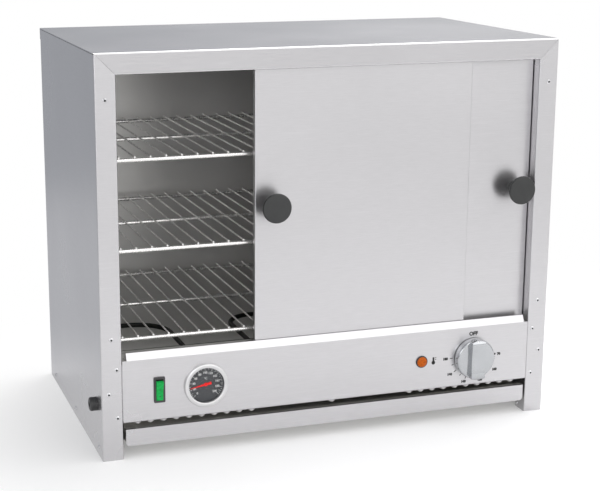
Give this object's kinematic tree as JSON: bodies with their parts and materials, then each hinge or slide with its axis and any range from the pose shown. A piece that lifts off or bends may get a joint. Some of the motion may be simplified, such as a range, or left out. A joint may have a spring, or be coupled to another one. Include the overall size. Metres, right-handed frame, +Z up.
{
  "type": "pie warmer",
  "caption": "Counter-top pie warmer: brushed steel cabinet, two sliding doors, wire racks, tube element, thermostat, dial thermometer, rocker switch and pull-out crumb tray.",
  "frame": {"origin": "under the middle of the whole footprint, knobs and cord gland included, at table height", "axes": "+X to the viewer's right, +Y to the back, +Z up; the doors and controls face -Y"},
  "size_m": [0.6098, 0.3746, 0.497],
  "materials": {
    "brushed_steel": "fine horizontal grain",
    "galvanised_steel": "dull mill finish",
    "rivet_steel": "plain bright",
    "chrome_wire": "bright plated",
    "element_black": "dark oxidised sheath",
    "brass_parts": "plain",
    "knob_plastic": "satin dark grey",
    "black_plastic": "satin black",
    "green_plastic": "clear green, lit",
    "orange_lens": "clear orange",
    "bezel_steel": "turned satin",
    "clear_glass": "clear",
    "dial_grey": "dark grey with white numerals",
    "needle_red": "red lacquer",
    "copper_tube": "copper",
    "shaft_steel": "plain turned",
    "silver_plastic": "bright silver coating",
    "grommet_rubber": "plain",
    "block_plastic": "cream"
  },
  "bodies": {
    "cabinet": {"left_side_panel": "brushed_steel", "right_side_panel": "brushed_steel", "top_cover": "brushed_steel", "back_panel": "brushed_steel", "control_panel": "brushed_steel", "wiring_cover": "galvanised_steel", "lower_door_track": "galvanised_steel", "upper_door_track": "galvanised_steel", "rack_rests": "galvanised_steel", "front_uprights": "galvanised_steel", "tray_runners": "galvanised_steel", "element_support": "galvanised_steel", "bulb_clips": "galvanised_steel", "back_screws": "rivet_steel", "stile_rivets": "rivet_steel", "side_rivets": "rivet_steel", "foot_rivets": "rivet_steel", "thermostat_screws": "rivet_steel", "earth_stud": "rivet_steel", "rack_lower": "chrome_wire", "rack_middle": "chrome_wire", "rack_upper": "chrome_wire", "heating_element": "element_black", "element_bushes": "brass_parts", "element_terminals": "brass_parts", "rocker_terminals": "brass_parts", "rocker_housing": "black_plastic", "pilot_lamp_body": "black_plastic", "thermostat_body": "black_plastic", "cord_gland": "black_plastic", "pilot_lamp_lens": "orange_lens", "thermometer_bezel": "bezel_steel", "thermometer_case": "bezel_steel", "thermometer_glass": "clear_glass", "thermometer_dial": "dial_grey", "thermometer_capillary": "copper_tube", "thermometer_bulb": "copper_tube", "thermostat_capillary": "copper_tube", "thermostat_bulb": "copper_tube", "capillary_grommet": "grommet_rubber", "terminal_block": "block_plastic"},
    "front_door_body": {"front_door": "brushed_steel", "front_door_knob": "knob_plastic", "front_knob_screw": "rivet_steel"},
    "rear_door_body": {"rear_door": "brushed_steel", "rear_door_knob": "knob_plastic", "rear_knob_screw": "rivet_steel"},
    "tray": {"crumb_tray": "brushed_steel"},
    "thermostat_dial": {"thermostat_knob": "silver_plastic", "thermostat_shaft": "shaft_steel"},
    "switch_key": {"rocker": "green_plastic"},
    "needle": {"thermometer_needle": "needle_red"}
  },
  "joints": [
    {"name": "front_door_slide", "type": "slide", "parent": "cabinet", "child": "front_door_body", "axis": [1, 0, 0], "range_m": [-0.1692, 0.052]},
    {"name": "rear_door_slide", "type": "slide", "parent": "cabinet", "child": "rear_door_body", "axis": [1, 0, 0], "range_m": [-0.052, 0]},
    {"name": "crumb_tray_slide", "type": "slide", "parent": "cabinet", "child": "tray", "axis": [0, -1, 0], "range_m": [0, 0.29]},
    {"name": "thermostat_turn", "type": "hinge", "parent": "cabinet", "child": "thermostat_dial", "pos_m": [0.1988, -0.17745, 0.0843], "axis": [0, 1, 0], "range_deg": [0, 280]},
    {"name": "rocker_press", "type": "hinge", "parent": "cabinet", "child": "switch_key", "pos_m": [-0.2245, -0.16625, 0.0853], "axis": [1, 0, 0], "range_deg": [-20.8, 0]},
    {"name": "thermometer_needle_turn", "type": "hinge", "parent": "cabinet", "child": "needle", "pos_m": [-0.1653, -0.16645, 0.0853], "axis": [0, 1, 0], "range_deg": [-34, 232]}
  ]
}
